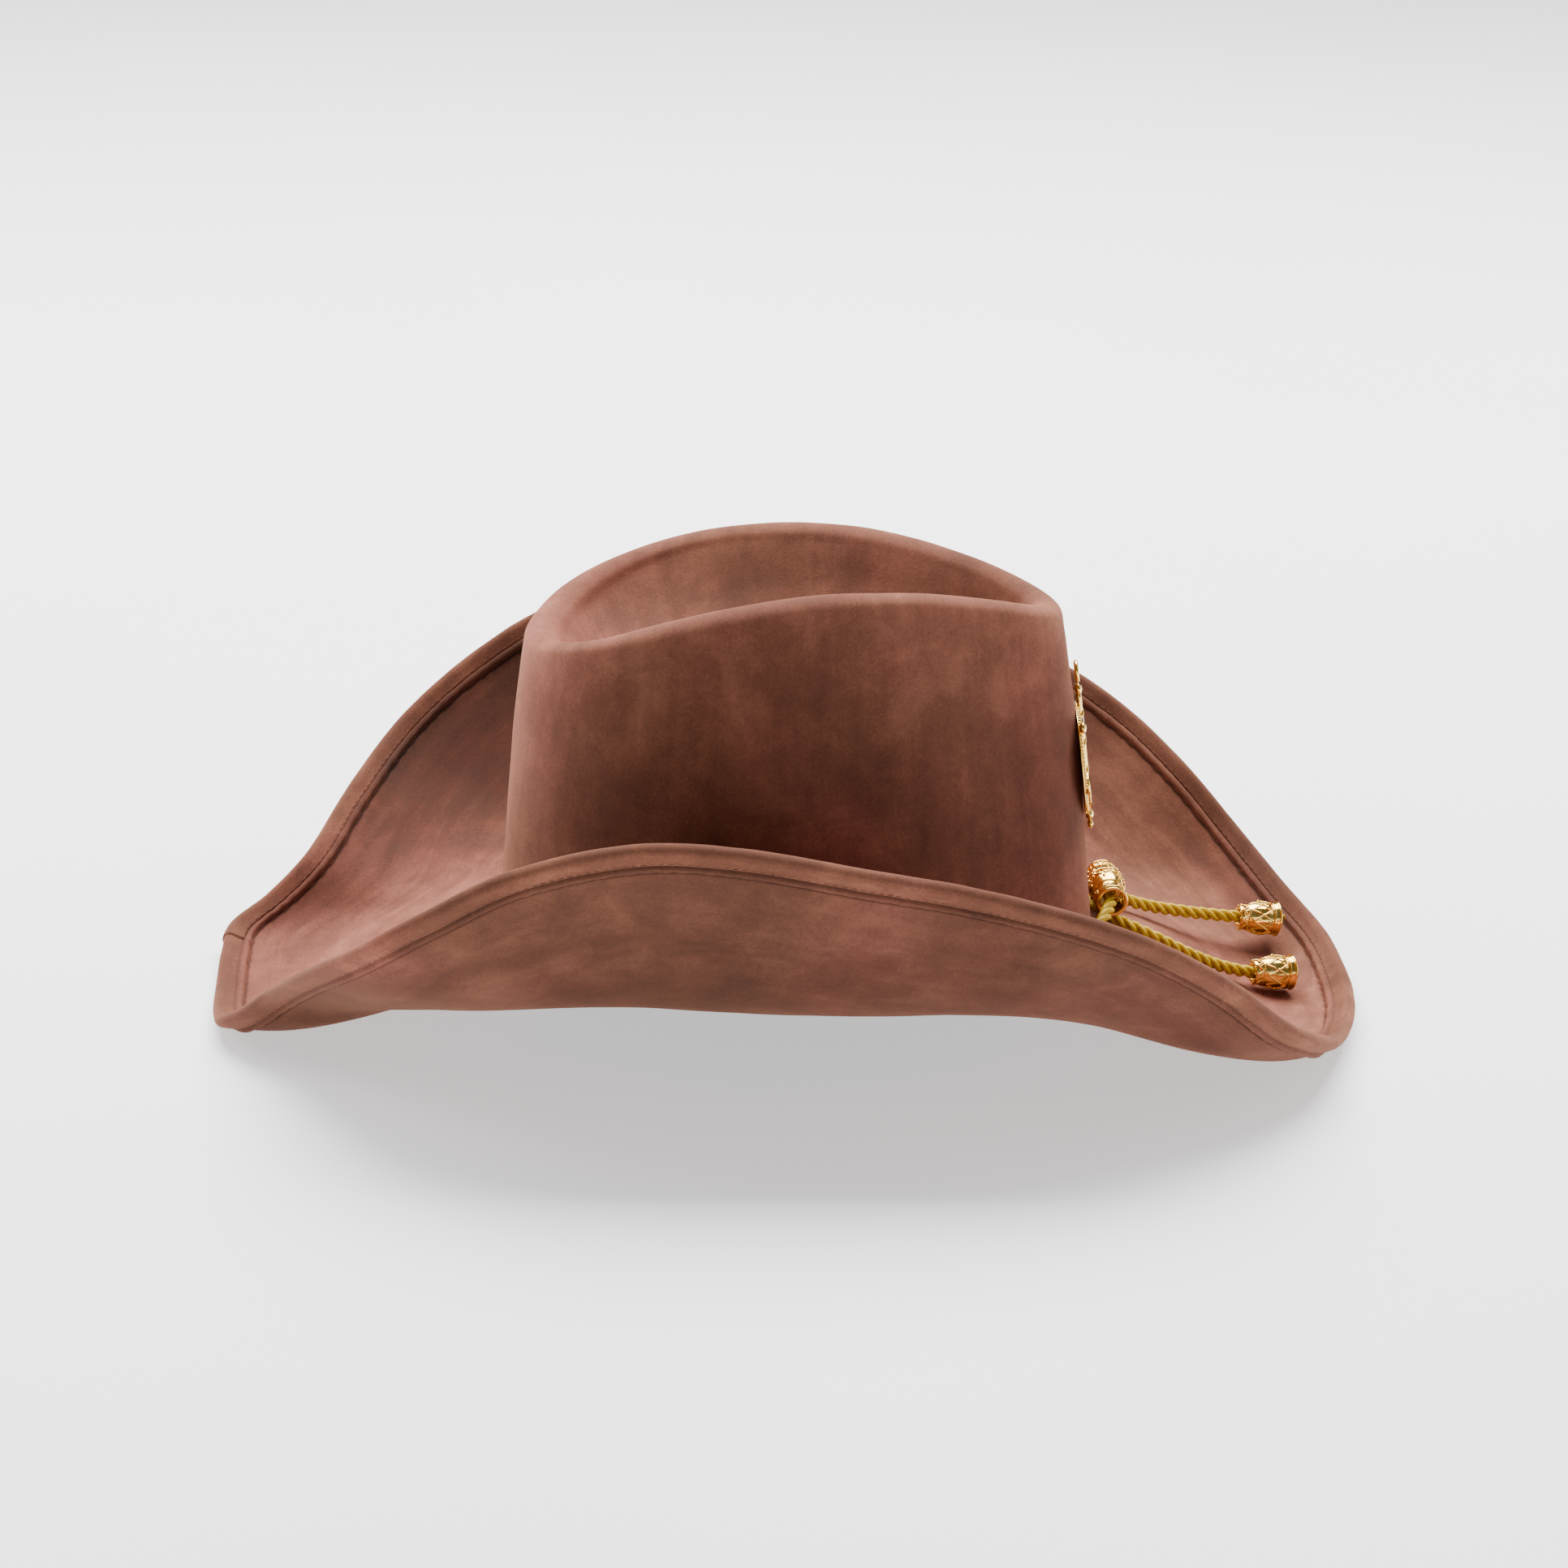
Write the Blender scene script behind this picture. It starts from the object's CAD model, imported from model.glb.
"""Looks of a wide-brimmed costume hat in brushed faux suede, with a twisted gold cord,
its slide and acorn tips, and a cast badge on the front. Lengths are in millimetres until
a mesh is made, and lights and floor are in metres. The frame is the CAD part's: +X front,
+Z up, Z = 0 the table."""
import math

import bmesh
import bpy
import numpy as np
from mathutils import Matrix, Vector, noise


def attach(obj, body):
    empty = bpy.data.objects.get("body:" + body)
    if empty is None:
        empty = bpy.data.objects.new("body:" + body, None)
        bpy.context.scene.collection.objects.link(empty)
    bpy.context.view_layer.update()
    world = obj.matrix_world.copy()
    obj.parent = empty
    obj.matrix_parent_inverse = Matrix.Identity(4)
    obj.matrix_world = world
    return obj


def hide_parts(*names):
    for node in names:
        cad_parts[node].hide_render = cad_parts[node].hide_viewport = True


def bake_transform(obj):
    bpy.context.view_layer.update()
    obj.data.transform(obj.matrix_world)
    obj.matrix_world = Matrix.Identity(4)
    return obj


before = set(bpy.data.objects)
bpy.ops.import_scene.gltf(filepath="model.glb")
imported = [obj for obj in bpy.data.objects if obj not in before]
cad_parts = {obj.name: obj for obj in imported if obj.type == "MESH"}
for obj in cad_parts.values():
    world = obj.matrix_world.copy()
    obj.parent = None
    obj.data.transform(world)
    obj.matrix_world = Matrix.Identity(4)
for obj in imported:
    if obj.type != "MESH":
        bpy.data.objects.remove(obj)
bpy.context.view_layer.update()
MM = 0.001
MERGE = 0.02        # places closer than this become one

# ---- driving dimensions, the same as the CAD part's ----

CROWN_CENTRE, CROWN_HALF_LENGTH, CROWN_HALF_WIDTH, CROWN_FOOT = 4, 105, 85, 33
CROWN_CLOTH, LINING_CLOTH, LAYER_GAP = 1.0, 1.1, 0.12
RIM_CENTRE, RIM_HALF_LENGTH, RIM_TOP, RIM_ROUND, DENT_FLOOR = 0.5, 88, 167.2, 7, 134
BRIM_CORE, BRIM_CLOTH, BRIM_FLANGE = 1.4, 0.8, 7
HEM_WIDTH, WIRE_INSET, WIRE_DIAMETER = 11, 7.9, 0.9
SWEATBAND_HEIGHT, BAND_GAP = 34, 0.9
ROPE_DIAMETER, SLIDE_BORE = 4.2, 4.1
BRIM_HALF = BRIM_CORE / 2 + LAYER_GAP + BRIM_CLOTH
BRIM_LEVEL = CROWN_FOOT - BRIM_HALF - 0.2
BREAK_OUTSET, END_SKEW, EDGE_SPREAD = 1.5, 0.06, 204 / 159

EDGE_HALF = [
    (-203, 0, 3.5), (-202.5, 28, 5.5), (-200, 48, 9), (-190, 61, 16.5), (-178, 73, 28),
    (-163.5, 104, 46.5), (-145.5, 134, 65), (-119, 151.5, 85.5), (-90, 157.5, 102.5),
    (-50, 158.5, 112.5), (-15, 156.5, 111), (25, 154.5, 104), (60, 153.5, 98), (100, 150.5, 87),
    (127.5, 138.5, 72.5), (149.5, 123.5, 55.5), (169.5, 106.5, 36), (186, 81, 21.5),
    (196, 55, 13), (201.5, 27, 9), (203.4, 0, 8.3),
]
CROWN_SIDE = [
    (87, 56.8, 36), (58.2, 76.6, 36), (22.8, 87.1, 36), (-14.8, 87.1, 36), (-50.2, 76.6, 36),
    (-79, 56.8, 36), (-97.9, 30.2, 36),
]
CROWN_ROUTE = [
    (125.6, 2.2, 31.4), (121.2, 3.4, 32.9), (117, 6, 34.3), (113.4, 11.5, 35.2),
    (109.6, 20.5, 35.3), (102.2, 37.4, 35.8), *CROWN_SIDE, (-104.4, 0, 36),
    *[(x, -y, z) for x, y, z in CROWN_SIDE[::-1]], (102.2, -37.4, 36), (109, -21, 37.4),
    (113, -11.5, 40.8), (115.4, -3, 43), (114.7, 10, 44.1), (113.7, 21, 44.8),
    (114.8, 27, 43.4),
]
NEAR_TAIL_ROUTE = [
    (125.6, 2.2, 31.4), (133, 1.5, 28.2), (140.4, 2.4, 24.2), (147.9, 4.6, 20.1),
    (155.5, 8.2, 16.1), (163.1, 11.7, 13), (168.5, 13.8, 11.5), (177.5, 16.6, 10.6),
]
FAR_TAIL_ROUTE = [
    (114.8, 27, 43.4), (117.6, 30, 38.4), (122.3, 32.4, 32.6), (130.9, 37, 28.3),
    (140.2, 41.5, 25.2), (149.6, 45.5, 22.7), (158.9, 49.2, 20.6), (166, 51.6, 19.3),
    (175.2, 54, 18.1),
]

# ---- camera ----

CAMERA_PLACE = Vector((-12.688, -1687.216, 632.077))
CAMERA_RIGHT = Vector((0.999799, 0, 0.020070))
CAMERA_UP = Vector((-0.019088, 0.309017, 0.950865))
CAMERA_BACK = Vector((-0.006202, -0.951057, 0.308955))
FOCAL_LENGTH, SENSOR_WIDTH = 115.04, 36


def make_camera():
    data = bpy.data.cameras.new("camera")
    data.lens, data.sensor_width = FOCAL_LENGTH, SENSOR_WIDTH
    data.clip_end = 20
    camera = bpy.data.objects.new("camera", data)
    turn = Matrix((CAMERA_RIGHT, CAMERA_UP, CAMERA_BACK)).transposed().to_4x4()
    camera.matrix_world = Matrix.Translation(CAMERA_PLACE * MM) @ turn
    bpy.context.scene.collection.objects.link(camera)
    bpy.context.scene.camera = camera


# ---- materials ----


def linear(red, green, blue):
    def one(value):
        value /= 255
        return value / 12.92 if value <= 0.04045 else ((value + 0.055) / 1.055) ** 2.4
    return (one(red), one(green), one(blue), 1)


class Nodes:
    """A material's node tree, with short calls for the nodes that are used here."""

    def __init__(self, name):
        self.material = bpy.data.materials.new(name)
        self.material.use_nodes = True
        self.tree = self.material.node_tree
        self.shader = self.tree.nodes["Principled BSDF"]

    def add(self, kind, **settings):
        node = self.tree.nodes.new(kind)
        for key, value in settings.items():
            setattr(node, key, value)
        return node

    def link(self, start, end):
        self.tree.links.new(start, end)

    def place(self, output="Object", scale=(1, 1, 1), turn=(0, 0, 0)):
        coordinates = self.add("ShaderNodeTexCoord")
        mapping = self.add("ShaderNodeMapping")
        mapping.inputs["Scale"].default_value = scale
        mapping.inputs["Rotation"].default_value = turn
        self.link(coordinates.outputs[output], mapping.inputs["Vector"])
        return mapping.outputs["Vector"]

    def noise(self, vector, scale, detail, rough, distortion=0.0):
        node = self.add("ShaderNodeTexNoise")
        for name, value in (("Scale", scale), ("Detail", detail),
                            ("Roughness", rough), ("Distortion", distortion)):
            node.inputs[name].default_value = value
        self.link(vector, node.inputs["Vector"])
        return node.outputs["Fac"]

    def wave(self, vector, scale, distortion=0.0):
        node = self.add("ShaderNodeTexWave")
        node.inputs["Scale"].default_value = scale
        node.inputs["Distortion"].default_value = distortion
        self.link(vector, node.inputs["Vector"])
        return node.outputs["Fac"]

    def feed(self, socket, value):
        if hasattr(value, "is_linked"):
            self.link(value, socket)
        else:
            socket.default_value = value

    def math(self, operation, first, second):
        node = self.add("ShaderNodeMath", operation=operation)
        self.feed(node.inputs[0], first)
        self.feed(node.inputs[1], second)
        return node.outputs[0]

    def weighted(self, *pairs):
        total = self.math("MULTIPLY", *pairs[0])
        for value, share in pairs[1:]:
            total = self.math("ADD", total, self.math("MULTIPLY", value, share))
        return total

    def ramp(self, factor, stops):
        node = self.add("ShaderNodeValToRGB")
        elements = node.color_ramp.elements
        while len(elements) < len(stops):
            elements.new(0.5)
        for element, (place, color) in zip(elements, stops):
            element.position, element.color = place, color
        self.link(factor, node.inputs["Fac"])
        return node.outputs["Color"]

    def blend(self, factor, first, second):
        """One color that goes from first to second as factor goes from 0 to 1."""
        node = self.add("ShaderNodeMix", data_type="RGBA")
        self.link(factor, node.inputs[0])
        self.feed(node.inputs[6], first)
        self.feed(node.inputs[7], second)
        return node.outputs[2]

    def color(self, factor, stops):
        self.link(self.ramp(factor, stops), self.shader.inputs["Base Color"])

    def roughness(self, factor, low, high):
        stops = [(0.3, (low, low, low, 1)), (0.7, (high, high, high, 1))]
        self.link(self.ramp(factor, stops), self.shader.inputs["Roughness"])

    def bump(self, *layers):
        normal = None
        for height, strength, distance in layers:
            node = self.add("ShaderNodeBump")
            node.inputs["Strength"].default_value = strength
            node.inputs["Distance"].default_value = distance * MM
            self.link(height, node.inputs["Height"])
            if normal:
                self.link(normal, node.inputs["Normal"])
            normal = node.outputs["Normal"]
        self.link(normal, self.shader.inputs["Normal"])

    def fixed(self, **values):
        for name, value in values.items():
            self.shader.inputs[name.replace("_", " ")].default_value = value


SUEDE_STOPS = (0.08, 0.40, 0.52, 0.63, 0.80)
SUEDE_TAN = ((30, 17, 13), (80, 48, 36), (102, 63, 48), (126, 81, 63), (164, 116, 94))
SUEDE_ROSE = ((30, 16, 13), (84, 48, 38), (108, 63, 51), (134, 82, 68), (170, 116, 98))
LINT, SUEDE_SHEEN = (176, 136, 116), (226, 154, 118)
CLOUD_SHARE, MOTTLE_SHARE, PILE_SHARE, CREASE_SHARE = 0.34, 0.30, 0.20, 0.35
DARK, FULL = (0, 0, 0, 1), (1, 1, 1, 1)


def suede(name, streaks, streak_share, light, rose_from=0.4):
    """Brushed nap: clouds, mottles and brush marks in the colour, a fine pile in the bump.
    The colour drifts between tan and rose, and goes dark where a seam presses the nap.
    A higher rose_from leaves more of the cloth tan."""
    nodes = Nodes(name)
    place = nodes.place()
    clouds = nodes.noise(place, 16, 3, 0.5, 0.5)
    mottles = nodes.noise(place, 65, 6, 0.68, 0.5)
    marks = nodes.noise(nodes.place("UV", streaks), 1, 3, 0.6, 0.7)
    pile = nodes.noise(place, 1100, 3, 0.75)
    drift = nodes.noise(place, 11, 2, 0.5, 0.5)
    tone = nodes.weighted((clouds, CLOUD_SHARE), (mottles, MOTTLE_SHARE),
                          (marks, streak_share), (pile, PILE_SHARE))
    tone = nodes.math("ADD", tone, 0.1 - streak_share / 2)
    crease = nodes.add("ShaderNodeAttribute", attribute_name="crease").outputs["Fac"]
    tone = nodes.math("SUBTRACT", tone, nodes.math("MULTIPLY", crease, CREASE_SHARE))
    tones = []
    for shades in (SUEDE_TAN, SUEDE_ROSE):
        stops = [(at, tuple(c * light for c in linear(*shade)[:3]) + (1,))
                 for at, shade in zip(SUEDE_STOPS, shades)]
        tones.append(nodes.ramp(tone, stops))
    hue = nodes.ramp(drift, [(rose_from, DARK), (rose_from + 0.2, FULL)])
    color = nodes.blend(hue, *tones)
    lint = nodes.noise(place, 800, 2, 0.5)
    lint = nodes.ramp(lint, [(0.76, DARK), (0.82, (0.4, 0.4, 0.4, 1))])
    nodes.link(nodes.blend(lint, color, linear(*LINT)), nodes.shader.inputs["Base Color"])
    nodes.roughness(mottles, 0.82, 0.98)
    nodes.bump((mottles, 0.25, 0.5), (pile, 0.55, 0.16))
    nodes.fixed(Specular_IOR_Level=0.15, Sheen_Weight=0.27, Sheen_Roughness=0.36,
                Sheen_Tint=linear(*SUEDE_SHEEN))
    return nodes.material


def woven(name, dark, pale, ribs):
    """Ribbed band cloth with a little fluff."""
    nodes = Nodes(name)
    place = nodes.place("UV")
    warp = nodes.wave(place, ribs)
    fluff = nodes.noise(nodes.place(), 900, 4, 0.6)
    nodes.color(nodes.weighted((warp, 0.5), (fluff, 0.5)), [(0.25, linear(*dark)),
                                                            (0.8, linear(*pale))])
    nodes.roughness(fluff, 0.75, 0.95)
    nodes.bump((warp, 0.5, 0.25), (fluff, 0.3, 0.12))
    nodes.fixed(Specular_IOR_Level=0.3, Sheen_Weight=0.2, Sheen_Roughness=0.5)
    return nodes.material


def felted(name, dark, pale):
    """Pressed fibres, for boards and thread."""
    nodes = Nodes(name)
    place = nodes.place()
    fibres = nodes.noise(place, 420, 6, 0.7, 1.2)
    patches = nodes.noise(place, 60, 3, 0.5)
    nodes.color(nodes.weighted((fibres, 0.7), (patches, 0.3)), [(0.35, linear(*dark)),
                                                                (0.65, linear(*pale))])
    nodes.roughness(patches, 0.85, 0.97)
    nodes.bump((fibres, 0.6, 0.3),)
    nodes.fixed(Specular_IOR_Level=0.25)
    return nodes.material


def satin_cord(name):
    """Fine rayon yarns that run along each strand, shiny on the crown of the twist."""
    nodes = Nodes(name)
    yarns = nodes.wave(nodes.place("UV", (1, 1, 1), (0, 0, 0.5)), 1.6, 0.4)
    uneven = nodes.noise(nodes.place(), 600, 3, 0.6)
    nodes.color(nodes.weighted((yarns, 0.55), (uneven, 0.45)), [
        (0.2, linear(150, 104, 4)), (0.5, linear(204, 160, 6)), (0.8, linear(240, 206, 40))])
    nodes.roughness(uneven, 0.2, 0.36)
    nodes.bump((yarns, 0.45, 0.12),)
    nodes.fixed(Specular_IOR_Level=0.7, Anisotropic=0.5, Specular_Tint=linear(255, 236, 120))
    return nodes.material


def polished_gold(name):
    """Thin plating on a casting: clean and bright, with faint hand marks and orange peel."""
    nodes = Nodes(name)
    place = nodes.place()
    marks = nodes.noise(place, 260, 4, 0.6)
    peel = nodes.noise(place, 1400, 2, 0.5)
    nodes.color(marks, [(0.35, linear(250, 194, 86)), (0.65, linear(255, 218, 124))])
    nodes.roughness(marks, 0.08, 0.2)
    nodes.bump((peel, 0.12, 0.1), (marks, 0.12, 0.25))
    nodes.fixed(Metallic=1.0)
    return nodes.material


def plain_steel(name):
    nodes = Nodes(name)
    scratches = nodes.noise(nodes.place(scale=(1, 1, 14)), 160, 4, 0.6)
    nodes.color(scratches, [(0.3, linear(150, 150, 148)), (0.7, linear(196, 196, 192))])
    nodes.roughness(scratches, 0.25, 0.45)
    nodes.bump((scratches, 0.15, 0.1),)
    nodes.fixed(Metallic=1.0)
    return nodes.material


def floor_paint(name):
    """A pale table that is lit a little from within, as for product pictures."""
    nodes = Nodes(name)
    grain = nodes.noise(nodes.place(), 3, 2, 0.5)
    nodes.color(grain, [(0.3, linear(243, 243, 243)), (0.7, linear(248, 248, 248))])
    nodes.fixed(Roughness=0.9, Specular_IOR_Level=0.1, Emission_Color=(1, 1, 1, 1),
                Emission_Strength=0.75)
    return nodes.material


# ---- mesh helpers ----


def mixed(low, high, share):
    return low + (high - low) * share


def bell(value, centre, width):
    return np.exp(-((value - centre) / width) ** 2)


def step(low, high, value):
    share = np.clip((value - low) / (high - low), 0, 1)
    return share * share * (3 - 2 * share)


def unit(vectors):
    return vectors / np.maximum(np.linalg.norm(vectors, axis=-1, keepdims=True), 1e-12)


def grid_faces(rows, columns, close_rows=False):
    """Quads over a grid whose columns close on themselves."""
    faces = []
    for r in range(rows if close_rows else rows - 1):
        below, above = r * columns, ((r + 1) % rows) * columns
        for c in range(columns):
            d = (c + 1) % columns
            faces.append((below + c, below + d, above + d, above + c))
    return faces


def end_faces(rows, columns):
    """One face on the first ring and one on the last, to close a tube's ends."""
    last = (rows - 1) * columns
    return [tuple(range(columns))[::-1], tuple(last + k for k in range(columns))]


def make_piece(name, places, faces, material, uv=None, merge=0.0, crease=None):
    """A smooth mesh object from places in millimetres. uv and crease go with each place."""
    mesh = bpy.data.meshes.new(name)
    mesh.from_pydata([tuple(p) for p in np.asarray(places) * MM], [], faces)
    if uv is not None:
        layer = mesh.uv_layers.new(name="UVMap")
        index = np.empty(len(mesh.loops), dtype=np.int32)
        mesh.loops.foreach_get("vertex_index", index)
        layer.data.foreach_set("uv", np.asarray(uv, dtype=np.float32)[index].ravel())
    if crease is not None:
        shade = mesh.attributes.new("crease", "FLOAT", "POINT")
        shade.data.foreach_set("value", np.asarray(crease, dtype=np.float32).ravel())
    shape = bmesh.new()
    shape.from_mesh(mesh)
    if merge:
        bmesh.ops.remove_doubles(shape, verts=shape.verts, dist=merge * MM)
    bmesh.ops.recalc_face_normals(shape, faces=shape.faces)
    for face in shape.faces:
        face.smooth = True
    shape.to_mesh(mesh)
    shape.free()
    mesh.materials.append(material)
    piece = bpy.data.objects.new(name, mesh)
    bpy.context.scene.collection.objects.link(piece)
    return piece


def settle(piece, slot, body, *nodes):
    """Gives a piece its slot, the body it rides on and the CAD nodes it stands for."""
    if body:
        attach(piece, body)
    if nodes:
        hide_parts(*nodes)
    return piece


def shell(name, outer, inner, material, uv, merge=0.0, crease=None):
    """A closed solid between two grids of the same size, with a wall at each free edge."""
    rows, columns = outer.shape[:2]
    count = rows * columns
    places = np.concatenate([outer.reshape(-1, 3), inner.reshape(-1, 3)])
    faces = grid_faces(rows, columns)
    faces += [tuple(i + count for i in quad[::-1]) for quad in faces]
    for c in range(columns):
        d = (c + 1) % columns
        faces.append((d, c, c + count, d + count))
        top = (rows - 1) * columns
        if not merge:
            faces.append((top + c, top + d, top + d + count, top + c + count))
    uv = np.concatenate([uv.reshape(-1, 2)] * 2)
    crease = None if crease is None else np.concatenate([crease.ravel()] * 2)
    return make_piece(name, places, faces, material, uv, merge, crease)


class Build:
    """Collects closed bits of mesh that become one piece."""

    def __init__(self):
        self.places, self.faces, self.uv, self.count = [], [], [], 0

    def put(self, places, faces, uv=None):
        places = np.asarray(places, dtype=float).reshape(-1, 3)
        uv = np.zeros((len(places), 2)) if uv is None else np.asarray(uv).reshape(-1, 2)
        self.places.append(places)
        self.uv.append(uv)
        self.faces += [tuple(i + self.count for i in face) for face in faces]
        self.count += len(places)
        return self

    def lathe(self, profile, segments):
        """A closed profile of (radius, height) turned round the Y axis."""
        profile = np.asarray(profile, dtype=float)
        angle = np.arange(segments) / segments * 2 * math.pi
        radius = np.broadcast_to(profile[:, :1], (len(profile), segments))
        height = np.broadcast_to(profile[:, 1:], (len(profile), segments))
        places = np.stack([radius * np.cos(angle), height, -radius * np.sin(angle)], -1)
        uv = np.stack([np.broadcast_to(angle, height.shape), height], -1)
        return self.put(places, grid_faces(len(profile), segments, True), uv)

    def tube(self, line, radius, sides, closed=False):
        """A round tube along a line; radius is one value, or one for each place."""
        line = np.asarray(line, dtype=float)
        ahead = unit(np.roll(line, -1, 0) - np.roll(line, 1, 0)) if closed else tangents(line)
        side, up = carried_frames(line, ahead)
        angle = np.arange(sides) / sides * 2 * math.pi
        radius = np.asarray(radius, dtype=float).reshape(-1, 1, 1)
        ring = (side[:, None] * np.cos(angle)[:, None] + up[:, None] * np.sin(angle)[:, None])
        places = line[:, None] + radius * ring
        faces = grid_faces(len(line), sides, closed)
        if not closed:
            faces += end_faces(len(line), sides)
        return self.put(places, faces)

    def ball(self, centre, radius, squash=(1, 1, 1)):
        rings, sides = 8, 12
        tilt = (np.arange(rings) + 0.5) / rings * math.pi
        turn = np.arange(sides) / sides * 2 * math.pi
        around = np.sin(tilt)[:, None]
        rise = np.broadcast_to(np.cos(tilt)[:, None], (rings, sides))
        places = np.stack([around * np.cos(turn), around * np.sin(turn), rise], -1)
        faces = grid_faces(rings, sides) + end_faces(rings, sides)
        return self.put(np.array(centre) + places * radius * np.array(squash), faces)

    def moved(self, matrix):
        rotation = np.array(matrix.to_3x3())
        shift = np.array(matrix.translation)
        self.places = [p @ rotation.T + shift for p in self.places]
        return self

    def piece(self, name, material):
        return make_piece(name, np.concatenate(self.places), self.faces, material,
                          np.concatenate(self.uv))


def tangents(line):
    return unit(np.gradient(line, axis=0))


def carried_frames(line, ahead):
    """Two directions across a line that turn with it as little as possible."""
    start = np.array((0, 0, 1.0)) if abs(ahead[0][2]) < 0.9 else np.array((1.0, 0, 0))
    side = np.empty_like(ahead)
    now = np.cross(start, ahead[0])
    for i, direction in enumerate(ahead):
        now = now - direction * np.dot(now, direction)
        now = now / np.linalg.norm(now)
        side[i] = now
    return side, np.cross(ahead, side)


def through(points, samples, closed=False):
    """Centripetal Catmull-Rom through rows of points: (rows, ..., 3) to (more rows, ..., 3)."""
    points = np.asarray(points, dtype=float)
    if closed:
        points = np.concatenate([points[-1:], points, points[:2]])
    else:
        first = 2 * points[:1] - points[1:2]
        last = 2 * points[-1:] - points[-2:-1]
        points = np.concatenate([first, points, last])
    knots = np.sqrt(np.maximum(np.linalg.norm(np.diff(points, axis=0), axis=-1), 1e-6))
    rows = []
    for i in range(len(points) - 3):
        p0, p1, p2, p3 = points[i:i + 4]
        t1 = knots[i][..., None]
        t2 = t1 + knots[i + 1][..., None]
        t3 = t2 + knots[i + 2][..., None]
        for k in range(samples):
            t = t1 + (t2 - t1) * k / samples
            a1 = p0 + (p1 - p0) * t / t1
            a2 = p1 + (p2 - p1) * (t - t1) / (t2 - t1)
            a3 = p2 + (p3 - p2) * (t - t2) / (t3 - t2)
            b1 = a1 + (a2 - a1) * t / t2
            b2 = a2 + (a3 - a2) * (t - t1) / (t3 - t1)
            rows.append(b1 + (b2 - b1) * (t - t1) / (t2 - t1))
    if not closed:
        rows.append(points[-2])
    return np.array(rows)


def lengths(line):
    """The length along a line up to each of its places."""
    return np.concatenate([[0], np.cumsum(np.linalg.norm(np.diff(line, axis=0), axis=-1))])


def spaced(line, gap):
    """The same line with places an even gap apart."""
    along = lengths(line)
    places = np.linspace(0, along[-1], max(2, round(along[-1] / gap) + 1))
    return np.stack([np.interp(places, along, line[:, k]) for k in range(3)], -1)


def ripple(places, scale, seed):
    """Smooth noise from -1 to 1 at each place, with features of about scale millimetres."""
    shift = Vector((seed * 17.3, seed * 5.1, seed * 9.7))
    flat = places.reshape(-1, 3) / scale
    values = [noise.noise(Vector(p) + shift) for p in flat]
    return np.array(values).reshape(places.shape[:-1])


def normals(grid):
    """Unit normals of a grid whose columns close."""
    across = np.roll(grid, -1, 1) - np.roll(grid, 1, 1)
    along = np.gradient(grid, axis=0)
    return unit(np.cross(across, along))


# ---- crown ----

CROWN_COLUMNS = 300
CREST_COSINE, FRONT_DROP, BACK_DROP = 0.2, 22, 18     # the crest is highest at this cosine
RIM_HALF_WIDTH, RIM_TAPER, RIM_SWELL = 50.5, 25, 9
PINCH_ANGLE, PINCH_SPAN = 0.66, 0.38                  # the front of the crown is pinched in
FLAT_BULGE, SIDE_BULGE, PINCH_DEPTH = 1.5, 9, 12
DENT_CENTRE, DENT_HALF_LENGTH, DENT_RISE = 2, 66, 6
WEAR_DEPTH, WEAR_LIGHT = 13, 0.2
CROWN_ROUND = 0.6                                     # metres, close to its real round
BAND_START, BAND_CLOTH, BAND_WAVES = 0.4, 0.75, 0.22
STITCH_ARCH = ((0.08, -0.18), (0.3, 0.10), (0.5, 0.14), (0.7, 0.10), (0.92, -0.18))
STITCH_TAPER = np.array([0.3, 0.5, 0.5, 0.5, 0.3])


def foot_point(angle, outset=0.0):
    """A place on the oval where the crown meets the brim, and the way out from it."""
    c, s = np.cos(angle), np.sin(angle)
    out = unit(np.stack([c / CROWN_HALF_LENGTH, s / CROWN_HALF_WIDTH, 0 * c], -1))
    base = np.stack([CROWN_CENTRE + CROWN_HALF_LENGTH * c, CROWN_HALF_WIDTH * s,
                     0 * c + CROWN_FOOT], -1)
    return base + out * outset, out


def rim_place(angle):
    """The crest of the crown, narrow at the front and low at both ends."""
    c, s = np.cos(angle), np.sin(angle)
    drop = np.where(c > CREST_COSINE, FRONT_DROP, BACK_DROP) * (c - CREST_COSINE) ** 2
    half_width = RIM_HALF_WIDTH - RIM_TAPER * c + RIM_SWELL * c * c
    return np.stack([RIM_CENTRE + RIM_HALF_LENGTH * c, half_width * s, RIM_TOP - drop], -1)


def rim_point(angle, outward_by, up_by):
    along = rim_place(angle + 1e-3) - rim_place(angle - 1e-3)
    out = unit(np.stack([along[..., 1], -along[..., 0], 0 * angle], -1))
    return rim_place(angle) + out * outward_by + np.array([0, 0, up_by])


def wall_point(angle, share):
    """A place on the crown's wall, at a share of the way from its foot to its shoulder."""
    foot, out = foot_point(angle)
    shoulder = rim_point(angle, RIM_ROUND, -1.25 * RIM_ROUND)
    from_front = np.abs(np.arctan2(np.sin(angle), np.cos(angle)))
    pinch = bell(from_front, PINCH_ANGLE, PINCH_SPAN)
    side = np.abs(np.sin(angle)) ** 0.7
    bulge = FLAT_BULGE + (SIDE_BULGE - PINCH_DEPTH * pinch) * side
    middle = (foot + shoulder) / 2 + out * bulge[..., None]
    return (1 - share) ** 2 * foot + 2 * (1 - share) * share * middle + share ** 2 * shoulder


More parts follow.
